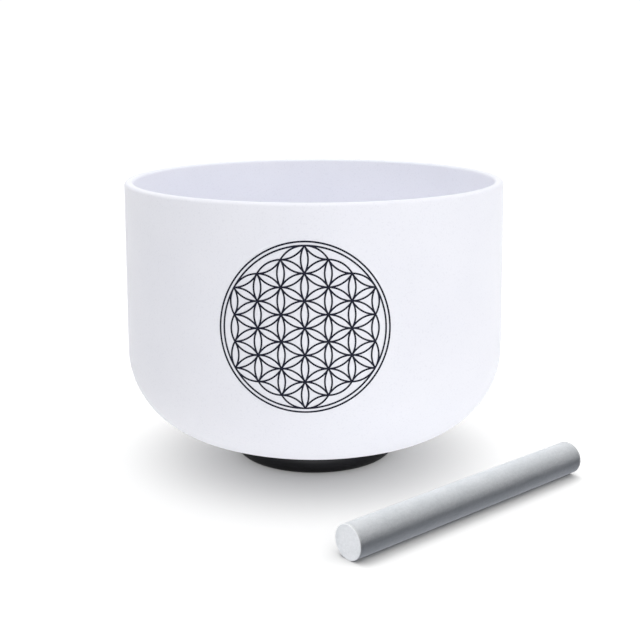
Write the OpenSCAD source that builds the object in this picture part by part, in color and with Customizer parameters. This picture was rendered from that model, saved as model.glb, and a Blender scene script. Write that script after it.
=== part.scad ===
// Frosted quartz singing bowl: a one-piece bowl with a printed motif, resting on a
// rubber O-ring, and a suede-covered wooden mallet that lies beside it.
// The origin is on the bowl's axis, at the surface that the O-ring stands on. +Z is up.

/* [Bowl] */
// Outer diameter at the rim
rim_d = 254; // [250:1:257]
// Largest outer diameter, low on the wall
belly_d = 258; // [258:1:262]
// Height from the lowest point of the underside to the rim
bowl_h = 186; // [175:1:195]
// Radius of the shoulder between the wall and the underside
shoulder_r = 57; // [52:1:62]
// Radius of the shallow underside
base_r = 246; // [240:1:252]
// Thickness of the quartz
wall = 6.2; // [5.5:0.1:7]
// Radius on both edges of the rim
rim_round = 2.3; // [1.5:0.1:2.5]

/* [Printed motif] */
// Height of the motif's centre above the table
motif_z = 120.1; // [116:0.1:122]
// Distance of the motif's centre to the right of the bowl's axis
motif_x = -5.2; // [-10:0.1:10]
// Angle above level from which the motif looks round, seen straight from the front
motif_tilt = 12; // [9:0.5:16]
// Distance between neighbouring points of the pattern
motif_step = 15.95; // [15:0.05:16.2]
// Distance between the two border circles
border_gap = 2.3; // [2:0.1:3]
// Width of the printed lines
line_w = 1; // [0.6:0.05:1.1]
// Thickness of the ink
ink_t = 0.12; // [0.1:0.01:0.15]

/* [O-ring] */
// Diameter of the circle through the middle of the ring's section
ring_d = 101; // [96:1:106]
// Diameter of the ring's section
ring_section = 12; // [11:0.5:13]
// How far the ring's underside is flattened where it stands
ring_flat = 0.3; // [0.2:0.1:0.5]
// Gap left between the ring and the bowl
seat_gap = 0.3; // [0.2:0.1:0.5]

/* [Mallet] */
// Length over the two end discs
mallet_l = 201; // [190:1:210]
// Diameter over the suede
mallet_d = 21.4; // [20:0.1:23]
// Thickness of the suede in the sleeve and the discs
suede_t = 1.8; // [1.4:0.1:2.2]
// Radius on the outer edge of the end discs
disc_round = 0.7; // [0.4:0.1:1]
// Distance of the mallet's near end to the right of the bowl's axis
mallet_x = 18.4; // [15:0.1:22]
// Distance of the mallet's near end in front of the bowl's axis
mallet_y = 183.5; // [181:0.1:187]
// Angle about the vertical from the X axis to the mallet
mallet_yaw = 41; // [39:1:43]

/* [Hidden] */

bowl_fn = 240;       // facets round the bowl, the ring and the shoulder's arc
line_fn = 96;        // facets round the other circles
print_depth = 60;    // depth of the extruded motif before it is cut to the wall
motif_rings = 3;     // rings of pattern points round the motif's centre

bite = 0.01;         // how far an arc starts outside the surface that it rounds
rim_r = rim_d / 2;
ring_r = ring_section / 2;
ring_z = ring_r - ring_flat;

// The underside is part of a sphere that sits on the ring, seat_gap clear of it
base_z = ring_z + sqrt(pow(base_r + ring_r + seat_gap, 2) - pow(ring_d / 2, 2));
rim_z = base_z - base_r + bowl_h;

// The shoulder is a circle inside that sphere, tangent to it and to the wall
shoulder_x = belly_d / 2 - shoulder_r;
shoulder_z = base_z - sqrt(pow(base_r - shoulder_r, 2) - pow(shoulder_x, 2));
base_half_angle = atan(shoulder_x / (base_z - shoulder_z));
rim_reach = norm([rim_r - shoulder_x, rim_z - shoulder_z]);
wall_lean = atan2(rim_z - shoulder_z, rim_r - shoulder_x) - acos(shoulder_r / rim_reach);

// Radius of the wall at the height of the motif's centre
wall_r = rim_r + (rim_z - motif_z) * tan(wall_lean);

function from(centre, r, angle) = centre + r * [cos(angle), sin(angle)];

// Half section of the solid inside the bowl's outer surface moved inwards by inset.
// The shoulder and the base keep their centres, so every inset gives an even wall.
// The shoulder's disc stands bite outside its neighbours, so that they cut it cleanly.
module half_section(inset) {
  shoulder = [shoulder_x, shoulder_z];
  wall_foot = from(shoulder, shoulder_r - inset, wall_lean);
  below_shoulder = from(shoulder, belly_d, base_half_angle - 90);
  beside_shoulder = from(shoulder, belly_d, wall_lean);
  intersection() {
    translate([0, base_z]) circle(r = base_r - inset, $fn = bowl_fn);
    polygon([[0, 0], [wall_foot[0] + wall_foot[1] * tan(wall_lean), 0],
             [wall_foot[0] - (rim_z - wall_foot[1]) * tan(wall_lean), rim_z], [0, rim_z]]);
    union() {
      translate(shoulder) circle(r = shoulder_r - inset + bite, $fn = bowl_fn);
      polygon([shoulder, below_shoulder, [0, below_shoulder[1]], [0, belly_d],
               [beside_shoulder[0], belly_d], beside_shoulder]);
    }
  }
}

// What is cut from an edge of the rim to round it. Side is 1 outside and -1 inside.
// The arc starts bite outside the wall and the top, so that it crosses them cleanly.
module rim_edge(edge_x, side) {
  wall_x = edge_x + rim_round * tan(wall_lean);
  centre = [wall_x - side * (rim_round / cos(wall_lean) - bite),
            rim_z - rim_round + bite];
  translate(centre) difference() {
    mirror([side > 0 ? 0 : 1, 0]) square(2 * rim_round);
    circle(r = rim_round, $fn = line_fn);
  }
}

module quartz_bowl() {
  color("ghostwhite") rotate_extrude($fn = bowl_fn) difference() {
    half_section(0);
    half_section(wall);
    rim_edge(rim_r, 1);
    rim_edge(rim_r - wall / cos(wall_lean), -1);
  }
}

// Points of a triangular grid, in a hexagon of the given number of rings
function grid(rings) = [
  for (q = [-rings:rings], r = [max(-rings, -rings - q):min(rings, rings - q)])
    motif_step * [q * cos(30), r + q / 2]
];

module line_circle(r) {
  difference() {
    circle(r = r + line_w / 2, $fn = line_fn);
    circle(r = r - line_w / 2, $fn = line_fn);
  }
}

// Overlapping circles round every grid point, kept only where they form petals between
// points of the hexagon, inside two border circles
module motif_lines() {
  border_r = motif_rings * motif_step;
  line_circle(border_r);
  line_circle(border_r + border_gap);
  intersection() {
    union() for (p = grid(motif_rings + 1)) if (norm(p) < border_r + 0.9 * motif_step)
      translate(p) line_circle(motif_step);
    union() for (p = grid(motif_rings - 1))
      translate(p) circle(r = motif_step + line_w / 2, $fn = line_fn);
  }
}

module printed_motif() {
  color("midnightblue") intersection() {
    translate([motif_x, -wall_r, motif_z]) rotate([90 - motif_tilt, 0, 0])
      linear_extrude(print_depth, center = true) motif_lines();
    rotate_extrude($fn = bowl_fn) difference() {
      half_section(-ink_t);
      half_section(0);
    }
  }
}

module rubber_o_ring() {
  color("black") rotate_extrude($fn = bowl_fn) intersection() {
    translate([ring_d / 2, ring_z]) circle(r = ring_r, $fn = line_fn);
    translate([ring_d / 2 - ring_section, 0]) square(2 * ring_section);
  }
}

// Puts a piece that is modelled along +Z from the mallet's near end in its place
module on_mallet() {
  translate([mallet_x, -mallet_y, mallet_d / 2]) rotate([0, 90, mallet_yaw]) children();
}

module mallet_core() {
  color("burlywood") on_mallet() translate([0, 0, suede_t])
    cylinder(h = mallet_l - 2 * suede_t, d = mallet_d - 2 * suede_t, $fn = line_fn);
}

module mallet_sleeve() {
  color("silver") on_mallet() translate([0, 0, suede_t]) difference() {
    cylinder(h = mallet_l - 2 * suede_t, d = mallet_d, $fn = line_fn);
    translate([0, 0, -1])
      cylinder(h = mallet_l, d = mallet_d - 2 * suede_t, $fn = line_fn);
  }
}

// A suede disc, flat against the sleeve at z = 0 and rounded at its outer edge
module end_disc() {
  rotate_extrude($fn = line_fn) {
    square([mallet_d / 2, suede_t - disc_round]);
    square([mallet_d / 2 - disc_round, suede_t]);
    translate([mallet_d / 2 - disc_round, suede_t - disc_round])
      intersection() {
        circle(r = disc_round, $fn = line_fn);
        square(disc_round);
      }
  }
}

module mallet_disc_near() {
  color("gainsboro") on_mallet() translate([0, 0, suede_t]) mirror([0, 0, 1]) end_disc();
}

module mallet_disc_far() {
  color("gainsboro") on_mallet() translate([0, 0, mallet_l - suede_t]) end_disc();
}

quartz_bowl();
printed_motif();
rubber_o_ring();
mallet_core();
mallet_sleeve();
mallet_disc_near();
mallet_disc_far();
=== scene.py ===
"""Frosted quartz singing bowl on its O-ring, with its suede mallet.

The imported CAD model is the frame. The bowl, the O-ring and the mallet's suede are built again
here as fine meshes on the same surfaces, and every piece gets a procedural material.
Lengths are in metres, in the frame of the CAD model.
"""

import math

import bpy
from mathutils import Matrix, Vector, noise


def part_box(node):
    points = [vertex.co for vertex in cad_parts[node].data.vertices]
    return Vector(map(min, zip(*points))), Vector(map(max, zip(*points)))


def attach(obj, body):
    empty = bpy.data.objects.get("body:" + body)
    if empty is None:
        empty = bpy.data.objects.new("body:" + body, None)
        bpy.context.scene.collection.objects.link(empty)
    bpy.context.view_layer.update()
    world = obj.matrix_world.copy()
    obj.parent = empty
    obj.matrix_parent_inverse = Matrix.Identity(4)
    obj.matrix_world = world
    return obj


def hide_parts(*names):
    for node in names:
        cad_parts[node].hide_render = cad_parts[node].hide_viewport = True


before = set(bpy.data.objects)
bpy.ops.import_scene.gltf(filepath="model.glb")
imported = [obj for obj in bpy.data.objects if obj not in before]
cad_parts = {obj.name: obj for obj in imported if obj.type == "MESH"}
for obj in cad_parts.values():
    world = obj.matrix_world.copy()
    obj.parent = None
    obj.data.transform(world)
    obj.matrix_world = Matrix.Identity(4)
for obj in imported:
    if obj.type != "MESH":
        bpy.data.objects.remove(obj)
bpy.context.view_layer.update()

MM = 0.001

# The bowl's driving sizes. Its height and largest diameter come from the frame.
RIM_R = 127 * MM
SHOULDER_R = 57 * MM
BASE_R = 246 * MM
WALL = 6.2 * MM
LIP_R = 2.3 * MM
TURNS = 320  # steps round the bowl

MALLET_YAW = math.radians(41.0)  # turn of the mallet from the X axis, seen from above
MALLET_TURNS = 144  # steps round the mallet
MALLET_STEPS = 220  # steps along the mallet

RING_FLAT = 0.3 * MM  # how much of the O-ring's section is flattened where it stands
RING_SECTION_STEPS = 180
RING_TURNS = 224

# The camera fitted to the photograph: place, downward pitch, roll and lens
CAMERA_PLACE = (3.7 * MM, -762 * MM, 283 * MM)
CAMERA_PITCH = math.radians(13.99)
CAMERA_ROLL = -math.radians(0.178)
CAMERA_LENS = 63.2  # mm
SENSOR_WIDTH = 36.0  # mm

# Light
BACKDROP_STRENGTH = 1.05
FLOOR_HALF = 400.0  # half the floor's side, far beyond every view
GLOW_BELOW_RIM = 10 * MM
GLOW_RADIUS = 6 * MM
GLOW_POWER = 0.046  # watts

WHITE = (1.0, 1.0, 1.0)
WARM = (1.0, 0.992, 0.972)
COOL = (0.96, 0.98, 1.04)


# ---------------------------------------------------------------- mesh helpers


def new_object(name, verts, faces, materials=()):
    """A smooth-shaded mesh object in the scene."""
    mesh = bpy.data.meshes.new(name)
    mesh.from_pydata([tuple(v) for v in verts], [], faces)
    mesh.validate()
    for material in materials:
        mesh.materials.append(material)
    mesh.polygons.foreach_set("use_smooth", [True] * len(mesh.polygons))
    obj = bpy.data.objects.new(name, mesh)
    bpy.context.scene.collection.objects.link(obj)
    return obj


def arc(centre, radius, start, end, steps):
    """Points (r, z) along an arc. Angles are in degrees from the r axis."""
    points = []
    for i in range(steps + 1):
        a = math.radians(start + (end - start) * i / steps)
        points.append((centre[0] + radius * math.cos(a), centre[1] + radius * math.sin(a)))
    return points


def line(start, end, steps):
    """Points along a line, both ends left out."""
    return [
        (start[0] + (end[0] - start[0]) * i / steps, start[1] + (end[1] - start[1]) * i / steps)
        for i in range(1, steps)
    ]


def lathe(name, profile, turns, closed=False, materials=(), shape=None):
    """Turns (r, z) points round the Z axis. A point at r = 0 becomes a single pole.
    shape(angle, r, z) may return a changed (r, z)."""
    verts, rows = [], []
    for r, z in profile:
        if r < 1e-7:
            rows.append([len(verts)] * turns)
            verts.append((0.0, 0.0, z))
            continue
        row = []
        for k in range(turns):
            a = math.tau * k / turns
            rr, zz = shape(a, r, z) if shape else (r, z)
            row.append(len(verts))
            verts.append((rr * math.cos(a), rr * math.sin(a), zz))
        rows.append(row)
    faces = []
    for i in range(len(rows) if closed else len(rows) - 1):
        low, high = rows[i], rows[(i + 1) % len(rows)]
        for k in range(turns):
            n = (k + 1) % turns
            corners = [low[k], low[n], high[n], high[k]]
            face = []
            for c in corners:
                if c not in face:
                    face.append(c)
            if len(face) > 2:
                faces.append(face)
    return new_object(name, verts, faces, materials)


# ------------------------------------------------------------ material helpers


class Graph:
    """Builds a material's node tree: add() makes a node, link() joins two sockets."""

    def __init__(self, name):
        self.material = bpy.data.materials.new(name)
        self.material.use_nodes = True
        self.tree = self.material.node_tree
        self.shader = self.tree.nodes["Principled BSDF"]

    def add(self, kind, inputs=None, **settings):
        node = self.tree.nodes.new(kind)
        for key, value in settings.items():
            setattr(node, key, value)
        for key, value in (inputs or {}).items():
            if isinstance(value, bpy.types.NodeSocket):
                self.tree.links.new(value, node.inputs[key])
            else:
                node.inputs[key].default_value = value
        return node

    def place(self):
        """The point on the object, in metres, the same in every view."""
        return self.add("ShaderNodeTexCoord").outputs["Object"]

    def noise(self, scale, detail=2.0, vector=None, **inputs):
        """Noise from 0 to 1. The scale is in features per metre."""
        node = self.add(
            "ShaderNodeTexNoise",
            {"Vector": vector or self.place(), "Scale": scale, "Detail": detail, **inputs},
        )
        return node.outputs["Fac"]

    def ramp(self, value, stops):
        """A colour ramp through (position, (r, g, b)) stops."""
        node = self.add("ShaderNodeValToRGB", {"Fac": value})
        elements = node.color_ramp.elements
        while len(elements) < len(stops):
            elements.new(0.5)
        for element, (position, colour) in zip(elements, stops):
            element.position = position
            element.color = (*colour, 1.0)
        return node.outputs["Color"]

    def span(self, value, low, high):
        """Maps a value from 0 to 1 onto low to high, clamped."""
        inputs = {"Value": value, "To Min": low, "To Max": high}
        return self.add("ShaderNodeMapRange", inputs).outputs["Result"]

    def multiply(self, a, b):
        """The product of two colours. The Mix node's colour sockets go by number, not by name."""
        inputs = {0: 1.0, 6: a, 7: b}
        node = self.add("ShaderNodeMix", inputs, data_type="RGBA", blend_type="MULTIPLY")
        return node.outputs[2]

    def bump(self, height, distance, strength=1.0, normal=None):
        inputs = {"Height": height, "Distance": distance, "Strength": strength}
        if normal:
            inputs["Normal"] = normal
        return self.add("ShaderNodeBump", inputs).outputs["Normal"]

    def set(self, **inputs):
        """Sets or links the shader's inputs, with _ for a space in a name."""
        for key, value in inputs.items():
            socket = self.shader.inputs[key.replace("_", " ")]
            if isinstance(value, bpy.types.NodeSocket):
                self.tree.links.new(value, socket)
            else:
                socket.default_value = value


def frosted_quartz():
    """Milky fused quartz: fine sandblasted grain, faint cloudiness and forming rings."""
    g = Graph("frosted_quartz")
    cloud = g.noise(14.0, 3.0)
    grain = g.noise(1500.0, 3.0)
    colour = g.ramp(cloud, [(0.35, (0.835, 0.842, 0.903)), (0.65, (0.86, 0.866, 0.923))])
    speck = g.ramp(g.noise(900.0, 1.0), [(0.30, (0.955, 0.955, 0.96)), (0.42, (1.0, 1.0, 1.0))])
    colour = g.multiply(colour, speck)
    ring_place = g.add("ShaderNodeMapping", {"Vector": g.place(), "Scale": (0.6, 0.6, 60.0)})
    rings = g.noise(2.5, 2.0, ring_place.outputs["Vector"])
    peel = g.noise(160.0, 2.0)
    normal = g.bump(grain, 0.00012, 0.5)
    normal = g.bump(peel, 0.0002, 0.25, normal)
    normal = g.bump(rings, 0.0004, 0.15, normal)
    g.set(
        Base_Color=colour,
        Roughness=g.span(grain, 0.42, 0.6),
        IOR=1.46,
        Subsurface_Weight=0.12,
        Subsurface_Radius=(1.0, 0.95, 0.95),
        Subsurface_Scale=0.004,
        Normal=normal,
    )
    return g.material


def print_ink():
    """Matt blue-black ink with a slightly uneven film."""
    g = Graph("print_ink")
    film = g.noise(700.0, 3.0)
    colour = g.ramp(film, [(0.3, (0.003, 0.004, 0.012)), (0.7, (0.007, 0.009, 0.026))])
    g.set(
        Base_Color=colour,
        Roughness=g.span(film, 0.55, 0.7),
        Specular_IOR_Level=0.2,
        Normal=g.bump(film, 0.00004, 0.4),
    )
    return g.material


def black_rubber():
    """Moulded rubber with a grey bloom and a fine skin."""
    g = Graph("black_rubber")
    bloom = g.noise(45.0, 4.0)
    skin = g.noise(2200.0, 2.0)
    colour = g.ramp(bloom, [(0.35, (0.005, 0.005, 0.006)), (0.7, (0.011, 0.011, 0.013))])
    g.set(
        Base_Color=colour,
        Roughness=g.span(bloom, 0.42, 0.6),
        Specular_IOR_Level=0.25,
        Normal=g.bump(skin, 0.00006, 0.4),
    )
    return g.material


def turned_wood():
    """Straight-grained hardwood along the mallet."""
    g = Graph("turned_wood")
    turned = g.add(
        "ShaderNodeMapping",
        {"Vector": g.place(), "Rotation": (0.0, 0.0, -MALLET_YAW), "Scale": (8.0, 160.0, 160.0)},
    ).outputs["Vector"]
    grain = g.noise(1.0, 5.0, turned, Distortion=0.6)
    pores = g.noise(7.0, 2.0, turned)
    colour = g.ramp(grain, [(0.3, (0.36, 0.21, 0.10)), (0.7, (0.60, 0.41, 0.23))])
    g.set(
        Base_Color=colour,
        Roughness=g.span(pores, 0.5, 0.7),
        Normal=g.bump(pores, 0.0001, 0.5),
    )
    return g.material


def suede(name, low, high):
    """Grey suede: short nap in brushed patches, over a fine fibre grain."""
    g = Graph(name)
    fibres = g.noise(2600.0, 4.0)
    nap = g.noise(420.0, 4.0, Distortion=0.8)
    brushed = g.noise(38.0, 3.0, Distortion=1.0)
    colour = g.ramp(brushed, [(0.3, low), (0.7, high)])
    shade = g.ramp(nap, [(0.3, (0.9, 0.9, 0.905)), (0.65, (1.0, 1.0, 1.0))])
    colour = g.multiply(colour, shade)
    tips = g.ramp(fibres, [(0.35, (0.88, 0.88, 0.88)), (0.6, (1.0, 1.0, 1.0))])
    colour = g.multiply(colour, tips)
    normal = g.bump(fibres, 0.00012, 0.7)
    normal = g.bump(nap, 0.0003, 0.5, normal)
    g.set(
        Base_Color=colour,
        Roughness=0.9,
        Specular_IOR_Level=0.2,
        Sheen_Weight=0.25,
        Sheen_Roughness=0.45,
        Sheen_Tint=(0.95, 0.97, 1.0, 1.0),
        Normal=normal,
    )
    return g.material


def plain_floor():
    """A grey sheet, which its own lamps bring to white."""
    g = Graph("floor_paper")
    g.set(Base_Color=(0.3, 0.3, 0.3, 1.0), Roughness=0.9, Specular_IOR_Level=0.1)
    return g.material


# ---------------------------------------------------------------------- pieces


def bowl_centres():
    """The rim's height and belly radius, and the centres of the shoulder and base arcs (r, z)."""
    low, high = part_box("quartz_bowl")
    rim_z, belly_r = high[2], high[0]
    base = (0.0, low[2] + BASE_R)
    shoulder_r = belly_r - SHOULDER_R
    drop = math.sqrt((BASE_R - SHOULDER_R) ** 2 - shoulder_r**2)
    return rim_z, belly_r, (shoulder_r, base[1] - drop), base


def wall_lean(rim_z, shoulder):
    """Angle in degrees by which the wall leans out from the rim to the shoulder."""
    dr, dz = RIM_R - shoulder[0], rim_z - shoulder[1]
    return math.degrees(math.atan2(dz, dr) - math.acos(SHOULDER_R / math.hypot(dr, dz)))


def quartz_bowl(material):
    """The shell: outside from the base up, the rounded lip, and inside down again."""
    rim_z, belly_r, shoulder, base = bowl_centres()
    lean = wall_lean(rim_z, shoulder)
    turn = math.degrees(math.atan2(shoulder[1] - base[1], shoulder[0]))
    slope = math.tan(math.radians(lean))
    lip_z = rim_z - LIP_R
    outer_lip = RIM_R + LIP_R * slope - LIP_R / math.cos(math.radians(lean))
    inner_lip = outer_lip + 2 * LIP_R - WALL / math.cos(math.radians(lean))
    outside = arc(base, BASE_R, -90, turn, 48) + arc(shoulder, SHOULDER_R, turn, lean, 28)[1:]
    lip = arc((outer_lip, lip_z), LIP_R, lean, 90, 8)
    lip += arc((inner_lip, lip_z), LIP_R, 90, 180 + lean, 8)
    inside = arc(shoulder, SHOULDER_R - WALL, lean, turn, 28)
    inside += arc(base, BASE_R - WALL, turn, -90, 48)[1:]
    profile = outside + line(outside[-1], lip[0], 30) + lip + line(lip[-1], inside[0], 30) + inside
    profile[0] = (0.0, profile[0][1])
    profile[-1] = (0.0, profile[-1][1])
    piece = lathe("bowl_shell", profile, TURNS, materials=[material])
    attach(piece, "bowl")
    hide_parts("quartz_bowl")
    return piece


def o_ring(material):
    """A torus with a flat where it stands and a mould line at its inner and outer equator."""
    low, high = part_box("rubber_o_ring")
    radius = (high[2] - low[2] + RING_FLAT) / 2
    centre = (high[0] - radius, high[2] - radius)
    line_height, line_width = 0.14 * MM, 3.0  # the width is in degrees of the section
    profile = []
    for i in range(RING_SECTION_STEPS):
        a = 360.0 * i / RING_SECTION_STEPS
        off = min(a, abs(a - 180), 360 - a)
        r = radius - line_height + line_height * math.exp(-((off / line_width) ** 2))
        x = centre[0] + r * math.cos(math.radians(a))
        z = centre[1] + r * math.sin(math.radians(a))
        profile.append((x, max(z, 0.0)))
    piece = lathe("o_ring_rubber", profile, RING_TURNS, closed=True, materials=[material])
    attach(piece, "ring")
    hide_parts("rubber_o_ring")
    return piece


def mallet_frame():
    """A matrix from +Z along the mallet, at its near end's outer face, and its length and radius."""
    near = [Vector(c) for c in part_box("mallet_disc_near")]
    far = [Vector(c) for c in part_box("mallet_disc_far")]
    near_mid, far_mid = (near[0] + near[1]) / 2, (far[0] + far[1]) / 2
    along = (far_mid - near_mid).normalized()
    radius = (near[1].z - near[0].z) / 2
    # the box of a disc of thickness t at yaw a is t cos a + 2 r sin a wide
    thickness = ((near[1].x - near[0].x) - 2 * radius * abs(along.y)) / abs(along.x)
    start = near_mid - along * thickness / 2
    length = (far_mid - near_mid).length + thickness
    up = Vector((0, 0, 1))
    side = up.cross(along)
    matrix = Matrix((up, side, along)).transposed().to_4x4()
    matrix.translation = start
    return matrix, length, radius, thickness


def on_mallet(piece, matrix, node):
    """Puts a piece made along +Z in the mallet's place, and hides the CAD node that it stands for."""
    piece.data.transform(matrix)
    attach(piece, "mallet")
    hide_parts(node)
    return piece


def mallet_sleeve(material, matrix, length, radius, disc):
    """The wrapped suede: uneven nap, a butt seam along the back and slightly drawn-in ends."""
    around, along = MALLET_TURNS, MALLET_STEPS
    depth = 0.12 * MM
    seam_at = math.radians(205)
    seam_width, seam_depth = 0.45 * MM, 0.55 * MM
    verts, faces = [], []
    start, end = disc, length - disc
    for i in range(along + 1):
        z = start + (end - start) * i / along
        to_end = min(z - start, end - z)
        drawn = 0.25 * MM * math.exp(-to_end / (1.2 * MM))
        for k in range(around):
            a = math.tau * k / around
            spot = Vector((math.cos(a) * radius, math.sin(a) * radius, z)) * 160
            lump = noise.noise(spot) * 0.6 + noise.noise(spot * 3.1) * 0.4
            gap = abs((a - seam_at + math.pi) % math.tau - math.pi) * radius
            seam = seam_depth * math.exp(-((gap / seam_width) ** 2))
            r = radius - depth * (0.5 + 0.5 * lump) - drawn - seam
            verts.append((r * math.cos(a), r * math.sin(a), z))
    for i in range(along):
        for k in range(around):
            n = (k + 1) % around
            faces.append([i * around + k, i * around + n, (i + 1) * around + n, (i + 1) * around + k])
    piece = new_object("sleeve_suede", verts, faces, [material])
    return on_mallet(piece, matrix, "mallet_sleeve")


def mallet_disc(name, material, matrix, radius, thickness, start, facing, node):
    """A punched suede disc with a soft edge. facing is -1 at the near end and 1 at the far end."""
    edge = 0.5 * MM
    back = [(0.0, 0.0)] + line((0.0, 0.0), (radius, 0.0), 20) + [(radius, 0.0)]
    rim = line((radius, 0.0), (radius, thickness - edge), 4)
    rim += arc((radius - edge, thickness - edge), edge, 0, 90, 8)
    face = line((radius - edge, thickness), (0.0, thickness), 36) + [(0.0, thickness)]

    def nap(a, r, z):
        spot = Vector((math.cos(a) * r, math.sin(a) * r, z + start)) * 220
        lump = 0.5 + 0.5 * noise.noise(spot)
        if z < thickness / 2:
            return r - 0.04 * MM * lump, z
        return r - 0.04 * MM * lump, z - 0.1 * MM * lump

    piece = lathe(name, back + rim + face, 120, materials=[material], shape=nap)
    if facing < 0:
        piece.data.transform(Matrix.Diagonal((1, 1, -1, 1)))
        piece.data.flip_normals()
    piece.data.transform(Matrix.Translation((0, 0, start)))
    return on_mallet(piece, matrix, node)


def assign(node, material):
    """Gives a CAD node, which stays as it is, one material."""
    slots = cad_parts[node].data.materials
    slots.clear()
    slots.append(material)


# ----------------------------------------------------------- camera and studio


def camera():
    """The camera that frames the object as the photograph does."""
    data = bpy.data.cameras.new("camera")
    data.sensor_fit = "HORIZONTAL"
    data.sensor_width = SENSOR_WIDTH
    data.lens = CAMERA_LENS
    data.clip_end = 1000.0
    obj = bpy.data.objects.new("camera", data)
    obj.location = CAMERA_PLACE
    turn = Matrix.Rotation(math.pi / 2 - CAMERA_PITCH, 3, "X") @ Matrix.Rotation(CAMERA_ROLL, 3, "Z")
    obj.rotation_euler = turn.to_euler()
    bpy.context.scene.collection.objects.link(obj)
    bpy.context.scene.camera = obj


def lit_only(light, objects, blockers):
    """The light reaches these objects only. Everything shades it, or only the blockers if given."""
    lit = bpy.data.collections.new("lit_by_" + light.name)
    for obj in objects:
        lit.objects.link(obj)
    light.light_linking.receiver_collection = lit
    if blockers:
        shading = bpy.data.collections.new("shading_" + light.name)
        for obj in blockers:
            shading.objects.link(obj)
        light.light_linking.blocker_collection = shading


def sun_light(name, direction, spread, strength, objects, blockers=(), colour=WHITE):
    """A distant soft source. direction is from the object to the light, spread its angle in degrees."""
    data = bpy.data.lights.new(name, "SUN")
    data.angle = math.radians(spread)
    data.energy = strength * math.pi
    data.color = colour
    obj = bpy.data.objects.new(name, data)
    obj.rotation_euler = Vector(direction).to_track_quat("Z", "Y").to_euler()
    bpy.context.scene.collection.objects.link(obj)
    lit_only(obj, objects, blockers)


def inner_glow(name, bowl):
    """A small lamp on the bowl's axis, below the rim. It stands in for light through the quartz,
    and moves with the shell."""
    data = bpy.data.lights.new(name, "POINT")
    data.shadow_soft_size = GLOW_RADIUS
    data.energy = GLOW_POWER
    data.specular_factor = 0.0
    obj = bpy.data.objects.new(name, data)
    obj.location = (0.0, 0.0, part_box("quartz_bowl")[1][2] - GLOW_BELOW_RIM)
    obj.visible_camera = False
    obj.visible_glossy = False
    obj.parent = bowl[0]
    bpy.context.scene.collection.objects.link(obj)
    lit_only(obj, bowl, ())


def white_world():
    """A white backdrop behind everything. It lights nothing: the lamps do that."""
    world = bpy.data.worlds.new("studio")
    bpy.context.scene.world = world
    world.use_nodes = True
    background = world.node_tree.nodes["Background"]
    background.inputs["Color"].default_value = (*WHITE, 1.0)
    background.inputs["Strength"].default_value = BACKDROP_STRENGTH
    world.cycles_visibility.diffuse = False
    world.cycles_visibility.glossy = False


def studio(bowl, mallet, ring):
    """A white table and the lamps. The table takes no part in bounced light: the soft lamps from
    below stand in for it, so that it can be set apart for the bowl and the mallet."""
    bpy.context.scene.view_settings.view_transform = "Standard"
    white_world()
    corners = [(x * FLOOR_HALF, y * FLOOR_HALF, 0) for x, y in ((-1, -1), (1, -1), (1, 1), (-1, 1))]
    floor = new_object("floor", corners, [[0, 1, 2, 3]], [plain_floor()])
    floor.visible_diffuse = False
    sun_light("floor_dome", (0.02, 0.2, 1.0), 140, 3.8, [floor])
    sun_light("floor_top", (-0.2, 0.28, 1.0), 30, 0.73, [floor], mallet)
    sun_light("bowl_table", (0.0, 0.0, -1.0), 170, 0.84, bowl, bowl + [ring])
    sun_light("bowl_low_right", (0.5, -0.8, -0.6), 60, 0.28, bowl, bowl + [ring])
    sun_light("bowl_dome", (0.06, 0.0, 1.0), 170, 0.88, bowl)
    sun_light("bowl_inside", (0.0, 0.0, 1.0), 25, 0.3, bowl)
    inner_glow("bowl_glow", bowl)
    sun_light("mallet_table", (0.0, 0.0, -1.0), 170, 0.73, mallet, mallet, COOL)
    sun_light("mallet_top", (-0.09, 0.105, 1.0), 20, 1.84, mallet, mallet, WARM)
    sun_light("mallet_end", (-0.755, -0.656, 0.0), 15, 1.3, mallet, mallet)
    sun_light("ring_front", (0.0, -0.5, 0.87), 40, 0.4, [ring], [ring])


def main():
    """Makes every piece, its material, the camera and the lights."""
    camera()
    shell = quartz_bowl(frosted_quartz())
    ring = o_ring(black_rubber())
    assign("printed_motif", print_ink())
    assign("mallet_core", turned_wood())
    matrix, length, radius, disc = mallet_frame()
    sleeve = suede("grey_suede", (0.374, 0.393, 0.416), (0.424, 0.438, 0.461))
    # Painted light: the end discs get a lighter copy of the sleeve's suede, for end faces that catch
    # the light
    ends_painted_light = suede("grey_suede_ends_painted_light", (0.42, 0.435, 0.45), (0.47, 0.48, 0.495))
    mallet = [
        mallet_sleeve(sleeve, matrix, length, radius, disc),
        mallet_disc("near_disc_suede", ends_painted_light, matrix, radius, disc, disc, -1, "mallet_disc_near"),
        mallet_disc("far_disc_suede", ends_painted_light, matrix, radius, disc, length - disc, 1, "mallet_disc_far"),
    ]
    studio([shell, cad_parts["printed_motif"]], mallet, ring)


main()
